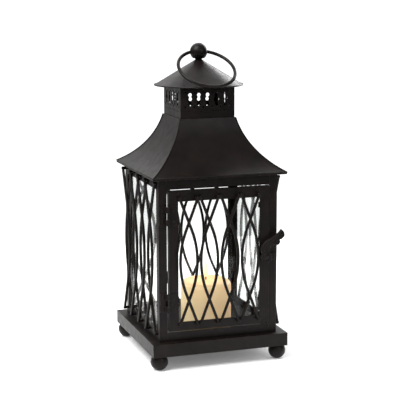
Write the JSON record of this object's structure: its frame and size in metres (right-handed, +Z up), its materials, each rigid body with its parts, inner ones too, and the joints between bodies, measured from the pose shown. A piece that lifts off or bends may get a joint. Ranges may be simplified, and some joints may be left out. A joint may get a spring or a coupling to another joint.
{
  "type": "hurricane candle lantern",
  "caption": "Square metal candle lantern with bent-wire lattices over glass, a hinged latching door, flared roof, pierced cupola, conical cap and a carrying ring.",
  "frame": {"origin": "on the ground, under the middle of the lantern", "axes": "+Z up, door on the -Y side, door hinges on its -X edge"},
  "size_m": [0.2062, 0.2062, 0.4604],
  "materials": {
    "bronze_black_paint": "satin black-brown bronze paint over sheet steel and wire",
    "clear_glass": "clear 2 mm pane",
    "zinc_steel": "bright zinc-plated steel",
    "ivory_wax": "smooth ivory wax",
    "cotton_wick": "charred braided cotton"
  },
  "bodies": {
    "lantern": {"ball_feet": "bronze_black_paint", "body_screws": "zinc_steel", "bottom_rails": "bronze_black_paint", "cap_base_plate": "bronze_black_paint", "cap_bridge": "bronze_black_paint", "cap_nut": "zinc_steel", "cap_rod": "zinc_steel", "cap_washer": "zinc_steel", "cone_cap": "bronze_black_paint", "corner_post_back_left": "bronze_black_paint", "corner_post_back_right": "bronze_black_paint", "corner_post_front_left": "bronze_black_paint", "corner_post_front_right": "bronze_black_paint", "cupola_panel_back": "bronze_black_paint", "cupola_panel_front": "bronze_black_paint", "cupola_panel_left": "bronze_black_paint", "cupola_panel_right": "bronze_black_paint", "finial_ball": "bronze_black_paint", "finial_collar": "bronze_black_paint", "floor_plate": "bronze_black_paint", "foot_screws": "zinc_steel", "glass_pane_back": "clear_glass", "glass_pane_clips": "bronze_black_paint", "glass_pane_left": "clear_glass", "glass_pane_right": "clear_glass", "header_rails": "bronze_black_paint", "hinge_pins": "bronze_black_paint", "hinge_post_leaves": "bronze_black_paint", "hinge_post_rivets": "bronze_black_paint", "latch_catch": "bronze_black_paint", "plinth_side_back": "bronze_black_paint", "plinth_side_front": "bronze_black_paint", "plinth_side_left": "bronze_black_paint", "plinth_side_right": "bronze_black_paint", "plinth_top_plate": "bronze_black_paint", "roof_panel_back": "bronze_black_paint", "roof_panel_front": "bronze_black_paint", "roof_panel_left": "bronze_black_paint", "roof_panel_right": "bronze_black_paint", "roof_screws": "zinc_steel", "wire_lattice_back": "bronze_black_paint", "wire_lattice_left": "bronze_black_paint", "wire_lattice_right": "bronze_black_paint"},
    "door": {"door_stile_hinge_side": "bronze_black_paint", "door_stile_latch_side": "bronze_black_paint", "door_rail_top": "bronze_black_paint", "door_rail_bottom": "bronze_black_paint", "door_glass": "clear_glass", "door_glass_clips": "bronze_black_paint", "door_wire_lattice": "bronze_black_paint", "hinge_door_leaves": "bronze_black_paint", "hinge_door_rivets": "bronze_black_paint", "latch_rosette": "bronze_black_paint"},
    "latch": {"latch_lever": "bronze_black_paint", "latch_tongue": "bronze_black_paint", "latch_nut": "zinc_steel"},
    "ring": {"carrying_ring": "bronze_black_paint"},
    "candle": {"pillar_candle": "ivory_wax", "candle_wick": "cotton_wick"}
  },
  "joints": [
    {"name": "door_hinge", "type": "hinge", "parent": "lantern", "child": "door", "pos_m": [-0.07645, -0.095, 0.157], "axis": [0, 0, -1], "range_deg": [0, 120]},
    {"name": "latch_turn", "type": "hinge", "parent": "door", "child": "latch", "pos_m": [0.06845, -0.0925, 0.157], "axis": [0, 1, 0], "range_deg": [0, 90]},
    {"name": "ring_swing", "type": "hinge", "parent": "lantern", "child": "ring", "pos_m": [0, 0, 0.4476], "axis": [-0.9994, -0.0349, 0], "range_deg": [0, 248]},
    {"name": "candle_lift", "type": "slide", "parent": "lantern", "child": "candle", "axis": [0, 0, 1], "range_m": [0, 0.045]}
  ]
}
